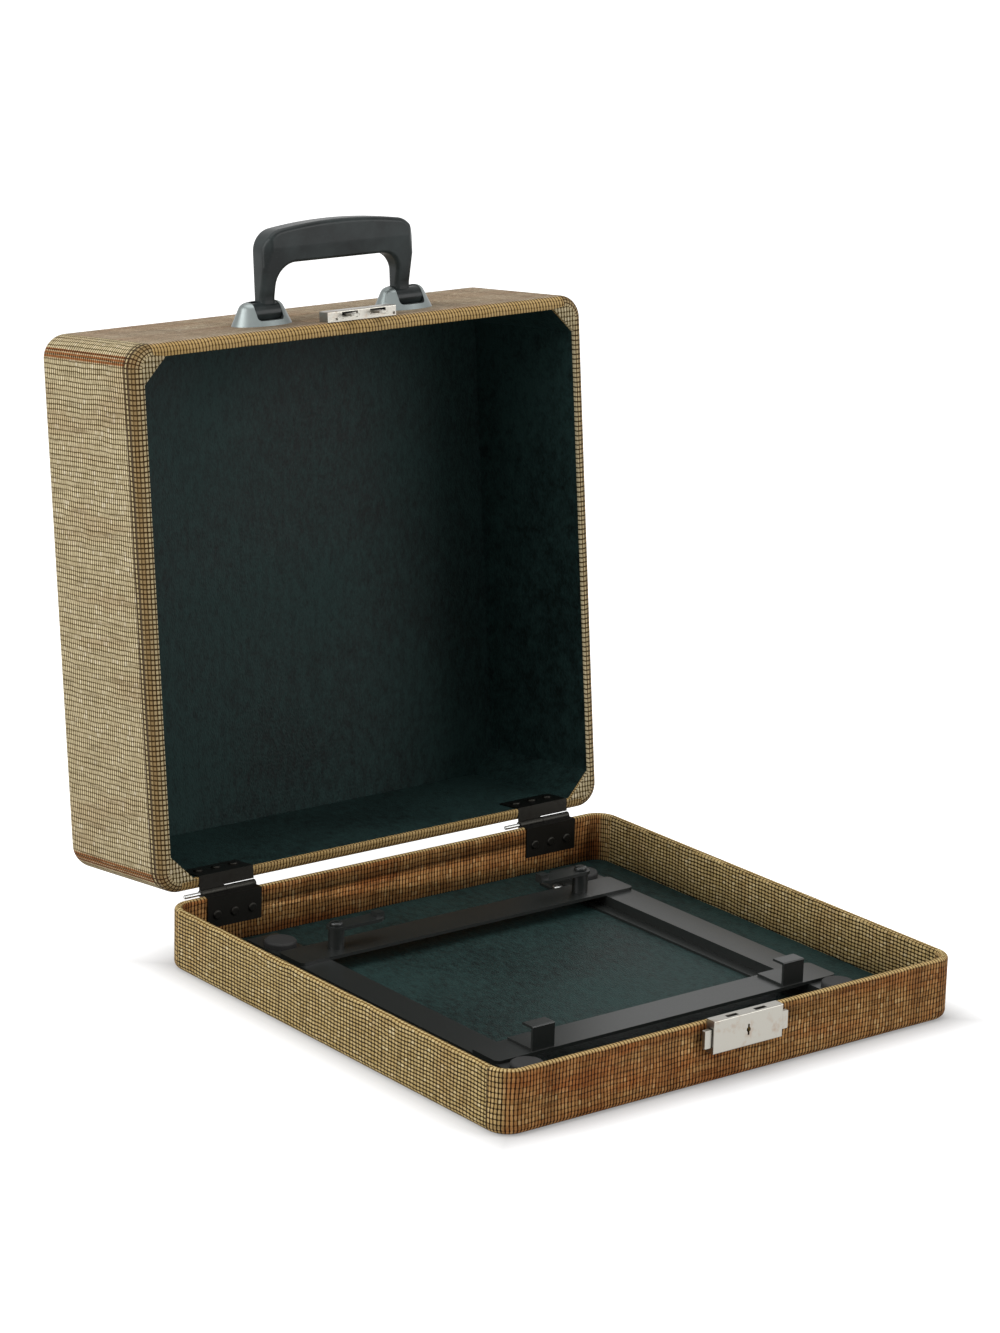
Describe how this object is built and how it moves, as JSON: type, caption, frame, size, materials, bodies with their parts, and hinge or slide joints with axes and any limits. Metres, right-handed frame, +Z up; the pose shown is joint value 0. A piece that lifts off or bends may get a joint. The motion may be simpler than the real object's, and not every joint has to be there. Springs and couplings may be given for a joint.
{
  "type": "typewriter case",
  "caption": "Cloth-covered portable case: shallow tray with a cradle, deep lined lid on rear hinges, fold-down handle on saddles, and a hasp with a sliding lock catch.",
  "frame": {"origin": "centre of the tray's underside, where the case rests on a table", "axes": "+Z up, +Y towards the hinges and the open lid, -Y towards the lock, +X to the right seen from the lock; stored with the lid open"},
  "size_m": [0.343, 0.4915, 0.4356],
  "materials": {
    "board": "bare thin plywood and basswood frame, edges glued, hidden under cloth",
    "tweed_cloth": "coated tweed cloth, cream and gold slubs over rust and olive threads, matte",
    "green_lining": "very dark green leatherette with a fine crinkle grain, semi-matte",
    "black_sheet": "black leathercloth, matte",
    "rubber": "moulded black rubber, matte",
    "hinge_steel": "dulled grey steel with bright worn edges",
    "bright_steel": "plain bright steel",
    "nickel_plate": "nickel-plated pressed steel, satin, with faint tarnish",
    "lock_brass": "plain turned brass",
    "saddle_metal": "satin die-cast metal, pale grey",
    "handle_plastic": "moulded black plastic, satin gloss with light scuffs",
    "cradle_steel": "black stove enamel on pressed steel"
  },
  "bodies": {
    "base": {"base_board": "board", "base_frame": "board", "base_covering": "tweed_cloth", "base_floor_lining": "green_lining", "base_bottom_sheet": "black_sheet", "base_rear_studs": "rubber", "hinge_base_leaf_left": "hinge_steel", "hinge_base_leaf_right": "hinge_steel", "hinge_pins": "bright_steel", "hinge_base_rivets": "bright_steel", "lock_case": "nickel_plate", "lock_back_plate": "nickel_plate", "lock_rivets": "bright_steel", "lock_spring": "bright_steel", "cradle_rail_left": "cradle_steel", "cradle_rail_right": "cradle_steel", "cradle_strap_front": "cradle_steel", "cradle_strap_rear": "cradle_steel", "cradle_screws": "bright_steel", "cradle_pads": "rubber", "front_catches": "cradle_steel", "clip_posts": "cradle_steel"},
    "lid": {"lid_panel": "board", "lid_frame": "board", "lid_corner_blocks": "board", "lid_covering": "tweed_cloth", "lid_lining_panel": "green_lining", "lid_lining_band": "green_lining", "lid_rear_studs": "rubber", "hinge_lid_leaf_left": "hinge_steel", "hinge_lid_leaf_right": "hinge_steel", "hinge_lid_rivets": "bright_steel", "hasp_cover": "nickel_plate", "hasp_hooks": "nickel_plate", "hasp_rivets": "bright_steel", "handle_saddle_left": "saddle_metal", "handle_saddle_right": "saddle_metal", "saddle_studs": "bright_steel", "handle_pins": "bright_steel"},
    "handle": {"handle_grip": "handle_plastic"},
    "catch": {"lock_catch": "nickel_plate"},
    "key": {"key_barrel": "lock_brass"},
    "clip_left": {"turn_clip_left": "cradle_steel"},
    "clip_right": {"turn_clip_right": "cradle_steel"}
  },
  "joints": [
    {"name": "lid_hinge", "type": "hinge", "parent": "base", "child": "lid", "pos_m": [0, 0.1711, 0.0393], "axis": [1, 0, 0], "range_deg": [0, 96]},
    {"name": "handle_swing", "type": "hinge", "parent": "lid", "child": "handle", "pos_m": [0, 0.24047, 0.38072], "axis": [1, 0, 0], "range_deg": [0, 70]},
    {"name": "catch_slide", "type": "slide", "parent": "base", "child": "catch", "axis": [1, 0, 0], "range_m": [0, 0.003], "stiffness_N_per_m": 400, "springref_m": -0.002, "deforming": ["lock_spring"]},
    {"name": "key_turn", "type": "hinge", "parent": "base", "child": "key", "pos_m": [0, -0.1755, 0.031], "axis": [0, 1, 0], "range_deg": [0, 90]},
    {"name": "clip_left_turn", "type": "hinge", "parent": "base", "child": "clip_left", "pos_m": [-0.095, 0.096, 0.0296], "axis": [0, 0, 1], "range_deg": [0, 90]},
    {"name": "clip_right_turn", "type": "hinge", "parent": "base", "child": "clip_right", "pos_m": [0.095, 0.096, 0.0296], "axis": [0, 0, -1], "range_deg": [0, 90]}
  ]
}
